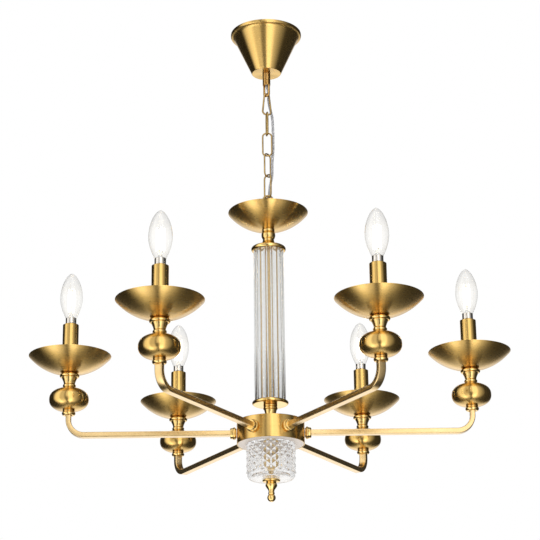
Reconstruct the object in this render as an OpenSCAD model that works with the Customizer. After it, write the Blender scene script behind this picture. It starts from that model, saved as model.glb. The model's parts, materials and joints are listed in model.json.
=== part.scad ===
// Six-arm candle chandelier hung on a short chain from a conical ceiling canopy.
// Millimetres. The origin is the centre of the ceiling face and the lamp hangs towards -Z.

/* [Arms and candles] */
// distance from the centre line to the middle of each candle
arm_reach = 306; // [260:1:350]
// width of the flat-sided arm tube, across the arm
arm_tube_width = 12; // [8:0.5:16]
// height of the arm tube
arm_tube_height = 8; // [6:0.5:12]
// radius of the arm's bend, at the middle of the tube
bend_radius = 24; // [18:1:32]
// radius of the candle dishes at the rim
dish_radius = 63; // [50:0.5:75]
// depth of the candle dishes
dish_depth = 28.5; // [18:0.5:34]
// radius of the flattened balls under the dishes
ball_radius = 30.1; // [22:0.1:36]
// half height of the flattened balls before their ends are cut flat
ball_half_height = 17.8; // [12:0.1:24]
// outer radius of the candle sleeves
sleeve_radius = 12.3; // [11:0.1:14]
// height of the sleeve's top edge above the arms
sleeve_top = 174.8; // [150:0.1:185]

/* [Centre] */
// radius of the drum that carries the arms
hub_radius = 51.3; // [42:0.1:60]
// height of the drum
hub_height = 35; // [28:0.5:45]
// radius of the bowl over the glass column
top_bowl_radius = 62.7; // [50:0.1:75]
// depth of the bowl over the glass column
top_bowl_depth = 29.3; // [16:0.1:32]
// radius of each glass rod
rod_radius = 4.2; // [3:0.1:4.8]
// radius of the circle the glass rods stand on
rod_circle = 19.3; // [17:0.1:20]
// largest radius of the cut glass cup, at the tips of its diamonds
cup_radius = 37.6; // [33:0.1:45]
// height of the cut glass cup
cup_height = 54; // [44:0.5:66]

/* [Canopy and chain] */
// radius of the canopy at the ceiling
canopy_radius = 57.2; // [50:0.1:60]
// radius of the canopy's flat lower end
canopy_foot_radius = 23.4; // [18:0.1:30]
// depth of the canopy
canopy_depth = 70; // [55:0.5:75]
// outer width of a chain link
link_width = 16.8; // [14:0.1:20]
// outer length of a chain link
link_length = 41.3; // [32:0.1:42]
// thickness of the chain wire
link_wire = 2.5; // [2:0.1:3]

/* [Hidden] */
$fa = 6;
$fs = 0.25;

arm_count = 6;
arm_step = 360 / arm_count;
sheet = 1.2;
// gap left where one hanging wire rides on another
wire_gap = 0.3;

// threaded studs and the bores that slip over them
stud_radius = 4.8;
stud_bore = 5.05;
stud_hole = 3;
centre_radius = 5.5;
centre_bore = 4;
centre_clear = 5.6;

// chain: wire centres are given as heights below the ceiling
eye_turn = 140;
eye_wire_radius = 1.75;
eye_half_width = 4.85;
eye_corner = 3.4;
eye_bar_z = -109;
collar_radius = 6.25;
collar_foot_z = -91;
pear_turn = 17;
pear_wire_radius = 1.4;
pear_span = 36.6;
pear_top_radius = 4;
pear_corner = 5.7;
pear_foot_half = 1.2;
pear_top_z = eye_bar_z + eye_wire_radius + pear_wire_radius + wire_gap;
pear_foot_z = pear_top_z - pear_span;
wire_radius = link_wire / 2;
link_half_width = link_width / 2 - wire_radius;
link_half_length = link_length / 2 - wire_radius;
link_corner = link_half_width - 1.2;
link_pitch = 2 * link_half_length - 2 * wire_radius - wire_gap;
link_1_z = pear_foot_z + pear_wire_radius + wire_radius + wire_gap - link_half_length;
link_turns = [100, 0, 50, -45];
loop_wire_radius = 1.5;
loop_half_width = 6.9;
loop_corner = 5.7;
loop_top_z = link_1_z - 3 * link_pitch - link_half_length
    + wire_radius + loop_wire_radius + wire_gap;
// height of the loop's top wire above the arms
loop_top = 385.85;
arm_drop = loop_top - loop_top_z;

// heights above the arms, from the finial up to the bowl
hub_half = hub_height / 2;
hub_wall = 1.5;
cup_top = -hub_half;
cup_foot = cup_top - cup_height;
lower_cap_low = 44.1;
lower_cap_high = 49.6;
rods_low = 47.1;
rods_high = 294.4;
upper_cap_low = 292.4;
upper_cap_high = 299.2;
rod_seat_radius = 23.75;
bowl_foot = 327.7;
bowl_seat = bowl_foot + 0.4;
boss_low = 329.4;
boss_high = 349;
boss_radius = 8.6;
tube_high = 344;
tube_low = -78;

// heights above the arms, up one candle
tube_end = 31;
knop_low = 38.6;
knop_middle = 56;
knop_high = 73.4;
dish_foot = 96.3;
dish_seat = dish_foot + 0.4;
stud_top = 105;
socket_low = 98.1;
socket_top = 172.8;
socket_radius = 9.6;
lamp_contact = 157.3;
glass_low = 185.5;
glass_wide = 218.6;
glass_tip = 259.2;
glass_radius = 17.5;
glass_neck = 8.3;
glass_wall = 0.8;
filament_circle = 5.2;
filament_low = 195.5;
filament_high = 233.5;

// bracket inside the canopy
bracket_half_length = 46;
bracket_half_width = 9;
bracket_drop = 20;
bracket_sheet = 2;
slot_spacing = 68;
slot_length = 12;
slot_radius = 2.25;
nipple_radius = 4.95;
nipple_bore = 5;
nipple_top_z = -15;
nipple_foot_z = -80.5;
nut_height = 3.4;
nut_radius = 8.2;
block_top_z = -14;
block_front = 10;
block_back = 22;

// supply cable, woven down beside the chain
cable_radius = 2.2;
cable_sides = 8;
cable_steps = 2;
arch_radius = 6.5;
cable_route = concat(
    [for (a = [0:30:180]) [0, arch_radius + arch_radius * cos(a),
        block_top_z + arch_radius * sin(a)]],
    [[0, 0, -43], [0, 0, -79.5], [0.1, 0.1, -90.5], [1.6, 1.9, -96.5], [3, 4.4, -102],
    [2.8, 5.4, -109], [2.8, 5.6, -116.5], [4.4, 6, -125.5], [6.6, 6.2, -135.5],
    [8.3, 4.9, -144.5], [9, 3.8, -155.5], [9.4, 3.8, -168.5], [9.5, 4, -185], [9.4, 3.8, -200.5],
    [9, 3.6, -208], [8.2, 2.8, -216], [7.4, 1.6, -231], [7, 1.2, -247.5], [4.8, 2.6, -259.5],
    [2.9, 4.2, -269.5], [2.4, 5, -280.5], [2, 5, -290], [1, 3, -301], [0, 0.5, -311],
    [0, 0, -320], [0, 0, -331]]);

module at_hub() translate([0, 0, -arm_drop]) children();
module at_arm(k) at_hub() rotate([0, 0, arm_step * (k - 1)]) children();
module at_candle(k) at_arm(k) translate([arm_reach, 0, 0]) children();
module at_each_arm() for (k = [1:arm_count]) at_arm(k) children();
module at_each_candle() for (k = [1:arm_count]) at_candle(k) children();

// a closed loop of round wire standing in the XZ plane
module wire_corner(corner, wire) {
    rotate_extrude(angle = 90) translate([corner, 0]) circle(wire);
}

module wire_ring(half_width, half_length, corner, wire) {
    across = half_width - corner;
    along = half_length - corner;
    for (side = [-1, 1]) {
        translate([side * half_width, 0, -along]) cylinder(r = wire, h = 2 * along);
        translate([-across, 0, side * half_length]) rotate([0, 90, 0])
            cylinder(r = wire, h = 2 * across);
    }
    rotate([90, 0, 0]) for (turn = [0, 90, 180, 270])
        translate([(turn == 0 || turn == 270 ? 1 : -1) * across, (turn < 180 ? 1 : -1) * along, 0])
            rotate([0, 0, turn]) wire_corner(corner, wire);
}

// an arch of round wire in the XZ plane: its bar at the origin and two legs going up
module wire_bail(half_width, leg, corner, wire) {
    across = half_width - corner;
    translate([-across, 0, 0]) rotate([0, 90, 0]) cylinder(r = wire, h = 2 * across);
    for (side = [-1, 1]) {
        translate([side * half_width, 0, corner]) cylinder(r = wire, h = leg - corner);
        translate([side * across, 0, corner]) rotate([90, 0, 0])
            rotate([0, 0, side > 0 ? 270 : 180]) wire_corner(corner, wire);
    }
}

// a spun bowl whose lowest point is at the origin, cut flat underneath where it is clamped
module spun_bowl(rim_radius, depth, hole, seat) {
    curve = (pow(rim_radius, 2) + pow(depth, 2)) / (2 * depth);
    rotate_extrude() intersection() {
        translate([0, curve]) difference() {
            circle(curve);
            circle(curve - sheet);
        }
        translate([hole, seat]) square([rim_radius, depth - seat]);
    }
}

// section of the arm tube with its corners broken; x is the height of the tube
module tube_outline(height, width, corner) {
    a = height / 2;
    b = width / 2;
    polygon([[a, b - corner], [a - corner, b], [corner - a, b], [-a, b - corner],
        [-a, corner - b], [corner - a, -b], [a - corner, -b], [a, corner - b]]);
}

module tube_section() {
    difference() {
        tube_outline(arm_tube_height, arm_tube_width, 1.2);
        square([arm_tube_height - 2 * sheet, arm_tube_width - 2 * sheet], center = true);
    }
}

module hex_nut(height, bore) {
    difference() {
        cylinder(r = nut_radius, h = height, $fn = 6);
        translate([0, 0, -1]) cylinder(r = bore, h = height + 2);
    }
}

module one_arm() {
    bend_x = arm_reach - bend_radius;
    tube_start = hub_radius + 3.7;
    translate([tube_start, 0, 0]) rotate([0, 90, 0]) linear_extrude(bend_x - tube_start)
        tube_section();
    translate([bend_x, 0, bend_radius]) rotate([90, 0, 0]) rotate([0, 0, -90])
        rotate_extrude(angle = 90) translate([bend_radius, 0]) tube_section();
    translate([arm_reach, 0, bend_radius]) linear_extrude(tube_end - bend_radius)
        tube_section();
    translate([hub_radius - 10.3, 0, 0]) rotate([0, 90, 0]) arm_stud(14.6);
    translate([arm_reach, 0, tube_end - 0.6]) arm_stud(stud_top - tube_end + 0.6);
}

module arm_stud(length) {
    difference() {
        cylinder(r = stud_radius, h = length);
        translate([0, 0, -1]) cylinder(r = 2.6, h = length + 2);
    }
}

module one_dish() {
    translate([0, 0, dish_foot]) spun_bowl(dish_radius, dish_depth, stud_bore,
        dish_seat - dish_foot);
}

module one_sleeve() {
    foot = dish_foot + 2.4;
    translate([0, 0, foot]) difference() {
        cylinder(r = sleeve_radius, h = sleeve_top - foot);
        translate([0, 0, -1]) cylinder(r = sleeve_radius - 0.7, h = sleeve_top);
    }
}

// outline of a flame-shaped lamp; x is the radius and y the height above the arms
function flame(radius, neck, low, high, y) = y > glass_wide
    ? [radius * pow(1 - pow((y - glass_wide) / (high - glass_wide), 1.9), 0.62), y]
    : [neck + (radius - neck) * cos(90 * (glass_wide - y) / (glass_wide - low)), y];

function flame_outline(radius, neck, low, high, count) = concat([[0, low]],
    [for (i = [0:count - 1]) flame(radius, neck, low, high, low + (high - low)
        * (1 - pow(1 - i / count, 1.35)))],
    [[0, high]]);

module one_bulb_glass() {
    difference() {
        rotate_extrude() polygon(flame_outline(glass_radius, glass_neck, glass_low,
            glass_tip, 22));
        rotate_extrude() polygon(flame_outline(glass_radius - glass_wall,
            glass_neck - glass_wall, glass_low + 1, glass_tip - 1.4, 22));
    }
    translate([0, 0, glass_low + 0.5]) cylinder(r1 = 3.4, r2 = 1.6, h = 16);
    translate([0, 0, glass_low + 10]) cylinder(r = 0.6, h = filament_high - glass_low - 9);
    for (turn = [45:90:315]) rotate([0, 0, turn]) {
        translate([filament_circle, 0, filament_low])
            cylinder(r = 0.85, h = filament_high - filament_low);
        for (z = [filament_low + 0.6, filament_high - 0.6]) translate([0, 0, z])
            rotate([0, 90, 0]) cylinder(r = 0.35, h = filament_circle);
    }
}

module one_bulb_cap() {
    c = lamp_contact;
    rotate_extrude() polygon([[0, c], [2.4, c], [2.8, c + 1.5], [6.4, c + 4.3],
        [7, c + 5.3], [7, c + 17.3], [8.3, c + 18.9], [8.3, glass_low], [7.9, glass_low],
        [7.9, c + 19.1], [6.6, c + 17.5], [6.6, c + 6.1], [0, c + 6.1]]);
}

module one_socket() {
    difference() {
        translate([0, 0, socket_low]) cylinder(r = socket_radius, h = socket_top - socket_low);
        translate([0, 0, socket_low - 1]) cylinder(r = stud_bore, h = 12);
        translate([0, 0, socket_low + 10]) cylinder(r = 7, h = 44);
        translate([0, 0, lamp_contact - 0.3]) cylinder(r = 7.25, h = 40);
    }
}

module one_neck() {
    rotate_extrude() {
        polygon([[stud_bore, knop_high], [10.8, knop_high], [9.3, 75.9], [10, 77],
            [10, 78.7], [8.7, 80], [8.9, 82.6], [11.8, 89.8], [12.6, 90.8], [13.6, 94.8],
            [9.6, dish_seat], [stud_bore, dish_seat]]);
        translate([12.3, 93.4]) circle(2.7);
    }
}

function knop_point(turn) = [ball_radius * pow(abs(cos(turn)), 2 / 2.35),
    sign(sin(turn)) * ball_half_height * pow(abs(sin(turn)), 2 / 2.35)];

module one_knop() {
    translate([0, 0, knop_middle]) rotate_extrude() intersection() {
        polygon([for (turn = [-90:7.5:90]) knop_point(turn)]);
        translate([stud_bore, knop_low - knop_middle])
            square([ball_radius, knop_high - knop_low]);
    }
}

module one_tip_ferrule() {
    rotate_extrude() polygon([[stud_bore, tube_end], [8.2, tube_end], [9.6, 32.2],
        [10.3, 33.4], [10.3, 35], [9.6, 36], [8.3, 36.3], [8.3, 36.8], [9.4, 37.2],
        [9.4, knop_low], [stud_bore, knop_low]]);
}

module one_hub_ferrule() {
    difference() {
        rotate([0, 90, 0]) rotate_extrude() polygon([[stud_bore, 49], [7.6, 49], [7.6, 53],
            [9.2, 53.5], [9.7, 54.4], [9.7, 55.4], [9.2, 56.3], [8.7, 56.6], [8.5, 58.4],
            [8, 60.2], [7.6, 61.2], [stud_bore, 61.2]]);
        cylinder(r = hub_radius + 0.1, h = hub_height, center = true);
        translate([hub_radius + 3.6, 0, 0]) rotate([0, 90, 0]) linear_extrude(20)
            tube_outline(arm_tube_height + 0.1, arm_tube_width + 0.1, 1.2);
    }
}

module ceiling_bracket() color("silver") {
    foot_x = 28;
    difference() {
        union() {
            for (side = [-1, 1]) {
                translate([side > 0 ? foot_x - bracket_sheet : -bracket_half_length,
                    -bracket_half_width, -bracket_sheet])
                    cube([bracket_half_length - foot_x + bracket_sheet,
                        2 * bracket_half_width, bracket_sheet]);
                translate([side > 0 ? foot_x - bracket_sheet : -foot_x, -bracket_half_width,
                    -bracket_drop - bracket_sheet])
                    cube([bracket_sheet, 2 * bracket_half_width,
                        bracket_drop + bracket_sheet]);
            }
            translate([-foot_x, -bracket_half_width, -bracket_drop - bracket_sheet])
                cube([2 * foot_x, 2 * bracket_half_width, bracket_sheet]);
            translate([-bracket_half_width, 0, -bracket_drop - bracket_sheet])
                cube([2 * bracket_half_width, block_back + 1, bracket_sheet]);
        }
        translate([0, 0, -bracket_drop - 2 * bracket_sheet])
            cylinder(r = nipple_bore, h = 3 * bracket_sheet);
        for (side = [-1, 1]) translate([side * slot_spacing / 2, 0, -2 * bracket_sheet])
            bracket_slot(3 * bracket_sheet);
    }
}

module bracket_slot(height) {
    half = slot_length / 2 - slot_radius;
    for (side = [-1, 1]) translate([side * half, 0, 0]) cylinder(r = slot_radius, h = height);
    translate([-half, -slot_radius, 0]) cube([2 * half, 2 * slot_radius, height]);
}

module canopy_nipple() color("silver") {
    translate([0, 0, nipple_foot_z]) difference() {
        cylinder(r = nipple_radius, h = nipple_top_z - nipple_foot_z);
        translate([0, 0, -1]) cylinder(r = stud_hole, h = canopy_depth);
    }
}

module nipple_nuts() color("silver") {
    translate([0, 0, -bracket_drop]) hex_nut(nut_height, nipple_bore);
    translate([0, 0, -bracket_drop - bracket_sheet - nut_height])
        hex_nut(nut_height, nipple_bore);
}

module terminal_block() color("white") {
    pole_pitch = 7;
    difference() {
        translate([-11, block_front, -bracket_drop])
            cube([22, block_back - block_front, bracket_drop + block_top_z]);
        for (pole = [-1:1]) translate([pole * pole_pitch, block_back - 3.4, block_top_z - 2.4])
            cylinder(r = 1.8, h = 4);
    }
}

module canopy() color("goldenrod") {
    rise = canopy_radius - canopy_foot_radius;
    rotate_extrude() polygon([[canopy_radius, 0], [canopy_radius, -3.2],
        [canopy_radius - 1, -4.6], [canopy_radius - 3.6, -5.6], [canopy_radius - 6.2, -8.4],
        [canopy_foot_radius, -canopy_depth], [nipple_bore + 0.1, -canopy_depth],
        [nipple_bore + 0.1, sheet - canopy_depth],
        [canopy_foot_radius - 0.8, sheet - canopy_depth],
        [canopy_radius - 7.3, -7.6], [canopy_radius - 4.4, -4.5],
        [canopy_radius - 1.2, -3.2], [canopy_radius - 1.2, 0]]);
}

module canopy_loop() color("darkgoldenrod") {
    rib = 0.35;
    ribs = 17;
    top = -canopy_depth;
    pitch = (top - collar_foot_z) / ribs;
    difference() {
        union() {
            rotate_extrude() polygon(concat([[0, top]],
                [for (i = [0:2 * ribs]) [collar_radius - (i % 2 == 0 ? rib : 0),
                    top - i * pitch / 2]],
                [[0, collar_foot_z]]));
            rotate([0, 0, eye_turn]) translate([0, 0, eye_bar_z])
                wire_bail(eye_half_width, collar_foot_z - eye_bar_z + 1, eye_corner,
                    eye_wire_radius);
        }
        translate([0, 0, nipple_foot_z - 0.2]) cylinder(r = nipple_bore, h = 20);
        translate([0, 0, collar_foot_z - 1]) cylinder(r = 2.8, h = 20);
    }
}

module pear_link() color("darkgoldenrod") {
    top_z = pear_top_z - pear_top_radius;
    fall = top_z - (pear_foot_z + pear_corner);
    gain = pear_corner - pear_top_radius;
    reach = sqrt(pow(pear_foot_half, 2) + pow(fall, 2));
    lean = acos(-gain / reach) - atan2(fall, pear_foot_half);
    joint_radius = pear_wire_radius + 0.06;
    side_length = sqrt(pow(reach, 2) - pow(gain, 2));
    rotate([0, 0, pear_turn]) {
        translate([0, 0, top_z]) rotate([90, 0, 0]) rotate([0, 0, lean])
            rotate_extrude(angle = 180 - 2 * lean) translate([pear_top_radius, 0])
                circle(pear_wire_radius);
        translate([-pear_foot_half, 0, pear_foot_z]) rotate([0, 90, 0])
            cylinder(r = pear_wire_radius, h = 2 * pear_foot_half);
        for (side = [0, 1]) mirror([side, 0, 0])
            translate([pear_foot_half, 0, pear_foot_z + pear_corner]) {
                rotate([90, 0, 0]) rotate([0, 0, -90]) rotate_extrude(angle = 90 + lean)
                    translate([pear_corner, 0]) circle(pear_wire_radius);
                rotate([0, -lean, 0]) translate([pear_corner, 0, 0]) {
                    cylinder(r = pear_wire_radius, h = side_length);
                    sphere(joint_radius);
                    translate([0, 0, side_length]) sphere(joint_radius);
                }
            }
    }
}

module chain_link(k) {
    translate([0, 0, link_1_z - (k - 1) * link_pitch]) rotate([0, 0, link_turns[k - 1]])
        wire_ring(link_half_width, link_half_length, link_corner, wire_radius);
}

module chain_link_1() color("darkgoldenrod") chain_link(1);
module chain_link_2() color("darkgoldenrod") chain_link(2);
module chain_link_3() color("darkgoldenrod") chain_link(3);
module chain_link_4() color("darkgoldenrod") chain_link(4);

module fixture_loop() color("darkgoldenrod") at_hub() {
    translate([0, 0, loop_top]) mirror([0, 0, 1])
        wire_bail(loop_half_width, loop_top - boss_high + 1, loop_corner, loop_wire_radius);
    translate([0, 0, boss_low]) difference() {
        cylinder(r = boss_radius, h = boss_high - boss_low);
        translate([0, 0, -1]) cylinder(r = centre_clear, h = tube_high - boss_low + 1.2);
        cylinder(r = stud_hole, h = boss_high);
    }
}

// smooth curve through the cable's route
function spline(p, q, r, s, t) = 0.5 * (2 * q + (r - p) * t + (2 * p - 5 * q + 4 * r - s)
    * pow(t, 2) + (3 * q - p - 3 * r + s) * pow(t, 3));
cable_last = len(cable_route) - 1;
cable_line = [for (i = [0:cable_last * cable_steps]) let (k = min(floor(i / cable_steps),
    cable_last - 1)) spline(cable_route[max(k - 1, 0)], cable_route[k], cable_route[k + 1],
    cable_route[min(k + 2, cable_last)], i / cable_steps - k)];
cable_end = len(cable_line) - 1;
function unit(v) = v / norm(v);
function heading(i) = unit(cable_line[min(i + 1, cable_end)] - cable_line[max(i - 1, 0)]);
function beside(i) = unit(cross(heading(i), [1, 0, 0]));

module supply_cable() color("lightgray") {
    points = [for (i = [0:cable_end]) let (u = beside(i), v = cross(heading(i), u))
        for (s = [0:cable_sides - 1]) let (a = 360 * s / cable_sides)
            cable_line[i] + cable_radius * (cos(a) * u + sin(a) * v)];
    walls = [for (i = [0:cable_end - 1]) for (s = [0:cable_sides - 1])
        let (a = i * cable_sides + s, b = i * cable_sides + (s + 1) % cable_sides)
            [a, a + cable_sides, b + cable_sides, b]];
    ends = [[for (s = [0:cable_sides - 1]) s],
        [for (s = [cable_sides - 1:-1:0]) cable_end * cable_sides + s]];
    polyhedron(points, concat(walls, ends));
}

module top_bowl() color("goldenrod") at_hub() translate([0, 0, bowl_foot])
    spun_bowl(top_bowl_radius, top_bowl_depth, centre_clear, bowl_seat - bowl_foot);

module upper_neck() color("gold") at_hub() {
    ball = 10.9;
    rotate_extrude() difference() {
        union() {
            polygon([[0, upper_cap_high], [15.4, upper_cap_high], [15, 300.8],
                [11.6, 303.5], [9.3, 307.6], [8.7, 311.8], [8.9, 316], [0, 316]]);
            translate([0, 319.2]) intersection() {
                circle(ball);
                translate([0, -8]) square([ball, 14]);
            }
            translate([0, 324.4]) square([9.8, bowl_seat - 324.4]);
        }
        translate([-ball, upper_cap_high - 1]) square([ball + centre_clear, 40]);
    }
}

// a round-edged disc with a shallow seat for the ends of the glass rods
module rod_cap(low, high, radius, seat_low, seat_high) {
    edge = (high - low) / 2;
    rotate_extrude() difference() {
        union() {
            translate([centre_clear, low]) square([radius - edge - centre_clear, high - low]);
            translate([radius - edge, low + edge]) circle(edge);
        }
        translate([0, seat_low]) square([rod_seat_radius, seat_high - seat_low]);
    }
}

module upper_rod_cap() color("gold") at_hub()
    rod_cap(upper_cap_low, upper_cap_high, 27, upper_cap_low - 1, rods_high);
module lower_rod_cap() color("gold") at_hub()
    rod_cap(lower_cap_low, lower_cap_high, 27.7, rods_low, lower_cap_high + 1);

module glass_rods() color("white", 0.4) at_hub() {
    rods = 12;
    for (k = [1:rods]) rotate([0, 0, 360 * k / rods]) translate([rod_circle, 0, rods_low])
        cylinder(r = rod_radius, h = rods_high - rods_low);
}

module lower_neck() color("gold") at_hub() {
    rotate_extrude() polygon([[centre_clear, hub_half], [13, hub_half], [13, 19.4],
        [9.4, 22], [8.5, 27], [8.5, 31.5], [9.6, 36.2], [10.9, 37.2], [10.9, 39.6],
        [9.9, 40.4], [9.9, 41], [10.7, 41.6], [10.7, lower_cap_low],
        [centre_clear, lower_cap_low]]);
}

module centre_tube() color("goldenrod") at_hub() translate([0, 0, tube_low]) difference() {
    cylinder(r = centre_radius, h = tube_high - tube_low);
    translate([0, 0, -1]) cylinder(r = centre_bore, h = tube_high - tube_low + 2);
}

module hub_shell() color("goldenrod") at_hub() difference() {
    rotate_extrude() polygon([[hub_radius, -hub_half], [hub_radius, hub_half - 0.8],
        [hub_radius - 0.8, hub_half], [centre_clear, hub_half],
        [centre_clear, hub_half - hub_wall], [hub_radius - hub_wall, hub_half - hub_wall],
        [hub_radius - hub_wall, -hub_half]]);
    for (k = [1:arm_count]) rotate([0, 0, arm_step * (k - 1)])
        translate([hub_radius - 6, 0, 0]) rotate([0, 90, 0]) cylinder(r = stud_bore, h = 12);
}

module hub_floor() color("tan") at_hub() translate([0, 0, -hub_half]) difference() {
    cylinder(r = hub_radius - hub_wall - 0.1, h = hub_wall);
    translate([0, 0, -1]) cylinder(r = centre_clear, h = hub_wall + 2);
}

// diamonds stand proud in staggered rows: high points and low points alternate
module crystal_cup() color("white", 0.4) at_hub() {
    columns = 32;
    rows = 8;
    row_height = 5.5;
    low_radius = cup_radius - 2.2;
    inner_radius = 30.5;
    band_top = cup_top - rows * row_height - 1;
    band_radius = low_radius + 0.6;
    band = [[band_radius, band_top], [band_radius, cup_foot + 5.6],
        [band_radius - 1.2, cup_foot + 2.6], [band_radius - 3.6, cup_foot + 0.7],
        [band_radius - 6, cup_foot]];
    cut_points = [for (j = [0:rows]) for (i = [0:columns - 1]) let (a = 360 * i / columns,
        r = (i + j) % 2 == 0 ? cup_radius : low_radius)
            [r * cos(a), r * sin(a), cup_top - j * row_height]];
    band_points = [for (p = band) for (i = [0:columns - 1]) let (a = 360 * i / columns)
        [p[0] * cos(a), p[0] * sin(a), p[1]]];
    last = rows + len(band);
    facets = [for (j = [0:last - 1]) for (i = [0:columns - 1]) let (k = (i + 1) % columns,
        a = j * columns + i, b = j * columns + k, c = a + columns, d = b + columns)
            each (i + j) % 2 == 0 ? [[a, b, c], [b, d, c]] : [[a, b, d], [a, d, c]]];
    difference() {
        polyhedron(concat(cut_points, band_points), concat(facets,
            [[for (i = [columns - 1:-1:0]) i], [for (i = [0:columns - 1]) last * columns + i]]));
        translate([0, 0, cup_foot + 6]) cylinder(r = inner_radius, h = cup_height);
        translate([0, 0, cup_foot - 1]) cylinder(r = centre_clear, h = cup_height);
    }
}

module finial() color("gold") at_hub() {
    rotate_extrude() difference() {
        union() {
            polygon([[0, cup_foot], [12.6, cup_foot], [13.35, cup_foot - 0.9],
                [13.35, cup_foot - 2.8], [12.3, cup_foot - 3.7], [7.8, cup_foot - 4.4],
                [7.2, cup_foot - 5.2], [8.3, cup_foot - 6.4], [9, cup_foot - 8.4],
                [8.6, cup_foot - 10.6], [6.6, cup_foot - 13.4], [4.6, cup_foot - 16.2],
                [4.3, cup_foot - 18.8], [4.9, cup_foot - 20.8], [4.9, cup_foot - 22],
                [0, cup_foot - 26]]);
            translate([0, cup_foot - 27.7]) intersection() {
                circle(6.35);
                translate([0, -7]) square([7, 14]);
            }
        }
        translate([-1, tube_low - 0.3]) square([1 + centre_radius + 0.05, 20]);
    }
}

module hub_ferrules() color("gold") at_each_arm() one_hub_ferrule();
module arm_nuts() color("silver") at_each_arm()
    translate([hub_radius - 6.4, 0, 0]) rotate([0, 90, 0]) hex_nut(3.9, 4.9);
module tip_ferrules() color("gold") at_each_candle() one_tip_ferrule();
module ball_knops() color("goldenrod") at_each_candle() one_knop();
module candle_necks() color("gold") at_each_candle() one_neck();
module lamp_sockets() color("white") at_each_candle() one_socket();

module arm_1() color("goldenrod") at_arm(1) one_arm();
module arm_2() color("goldenrod") at_arm(2) one_arm();
module arm_3() color("goldenrod") at_arm(3) one_arm();
module arm_4() color("goldenrod") at_arm(4) one_arm();
module arm_5() color("goldenrod") at_arm(5) one_arm();
module arm_6() color("goldenrod") at_arm(6) one_arm();
module dish_1() color("goldenrod") at_candle(1) one_dish();
module dish_2() color("goldenrod") at_candle(2) one_dish();
module dish_3() color("goldenrod") at_candle(3) one_dish();
module dish_4() color("goldenrod") at_candle(4) one_dish();
module dish_5() color("goldenrod") at_candle(5) one_dish();
module dish_6() color("goldenrod") at_candle(6) one_dish();
module sleeve_1() color("goldenrod") at_candle(1) one_sleeve();
module sleeve_2() color("goldenrod") at_candle(2) one_sleeve();
module sleeve_3() color("goldenrod") at_candle(3) one_sleeve();
module sleeve_4() color("goldenrod") at_candle(4) one_sleeve();
module sleeve_5() color("goldenrod") at_candle(5) one_sleeve();
module sleeve_6() color("goldenrod") at_candle(6) one_sleeve();
module bulb_cap_1() color("silver") at_candle(1) one_bulb_cap();
module bulb_cap_2() color("silver") at_candle(2) one_bulb_cap();
module bulb_cap_3() color("silver") at_candle(3) one_bulb_cap();
module bulb_cap_4() color("silver") at_candle(4) one_bulb_cap();
module bulb_cap_5() color("silver") at_candle(5) one_bulb_cap();
module bulb_cap_6() color("silver") at_candle(6) one_bulb_cap();
module bulb_glass_1() color("white", 0.4) at_candle(1) one_bulb_glass();
module bulb_glass_2() color("white", 0.4) at_candle(2) one_bulb_glass();
module bulb_glass_3() color("white", 0.4) at_candle(3) one_bulb_glass();
module bulb_glass_4() color("white", 0.4) at_candle(4) one_bulb_glass();
module bulb_glass_5() color("white", 0.4) at_candle(5) one_bulb_glass();
module bulb_glass_6() color("white", 0.4) at_candle(6) one_bulb_glass();

ceiling_bracket();
canopy_nipple();
nipple_nuts();
terminal_block();
canopy();
canopy_loop();
pear_link();
chain_link_1();
chain_link_2();
chain_link_3();
chain_link_4();
fixture_loop();
supply_cable();
top_bowl();
upper_neck();
upper_rod_cap();
glass_rods();
lower_rod_cap();
lower_neck();
centre_tube();
hub_shell();
hub_floor();
crystal_cup();
finial();
hub_ferrules();
arm_nuts();
tip_ferrules();
ball_knops();
candle_necks();
lamp_sockets();
arm_1();
arm_2();
arm_3();
arm_4();
arm_5();
arm_6();
dish_1();
dish_2();
dish_3();
dish_4();
dish_5();
dish_6();
sleeve_1();
sleeve_2();
sleeve_3();
sleeve_4();
sleeve_5();
sleeve_6();
bulb_cap_1();
bulb_cap_2();
bulb_cap_3();
bulb_cap_4();
bulb_cap_5();
bulb_cap_6();
bulb_glass_1();
bulb_glass_2();
bulb_glass_3();
bulb_glass_4();
bulb_glass_5();
bulb_glass_6();
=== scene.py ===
"""A six-arm candle chandelier on a short chain: its looks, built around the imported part."""

import json
import math

import bmesh
import bpy
from mathutils import Matrix, Vector


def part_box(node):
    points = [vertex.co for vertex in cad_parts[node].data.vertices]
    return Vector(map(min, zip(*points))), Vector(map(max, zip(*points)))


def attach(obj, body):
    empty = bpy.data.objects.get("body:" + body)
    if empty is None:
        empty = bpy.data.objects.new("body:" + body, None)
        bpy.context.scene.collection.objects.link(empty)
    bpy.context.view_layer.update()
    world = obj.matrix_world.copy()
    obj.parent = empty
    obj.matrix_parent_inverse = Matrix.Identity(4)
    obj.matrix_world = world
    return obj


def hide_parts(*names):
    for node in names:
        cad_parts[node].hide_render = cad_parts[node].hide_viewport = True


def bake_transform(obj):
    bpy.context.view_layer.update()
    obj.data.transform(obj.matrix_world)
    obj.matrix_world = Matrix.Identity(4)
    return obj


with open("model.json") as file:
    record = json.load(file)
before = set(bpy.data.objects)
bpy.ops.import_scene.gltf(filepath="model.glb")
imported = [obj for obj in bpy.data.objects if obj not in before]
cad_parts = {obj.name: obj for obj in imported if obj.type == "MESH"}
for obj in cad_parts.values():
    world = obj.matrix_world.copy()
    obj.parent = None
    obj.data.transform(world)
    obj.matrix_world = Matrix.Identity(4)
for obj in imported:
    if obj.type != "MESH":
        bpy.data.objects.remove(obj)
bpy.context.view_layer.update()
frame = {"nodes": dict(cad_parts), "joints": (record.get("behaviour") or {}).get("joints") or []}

MM = 0.001
TAU = 2 * math.pi
ARMS = range(1, 7)
FINE = 144  # segments round a large turned part
SMALL = 72  # segments round a small turned part
CREASE = math.radians(34)


def low(node):
    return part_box(node)[0]


def high(node):
    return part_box(node)[1]


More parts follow.
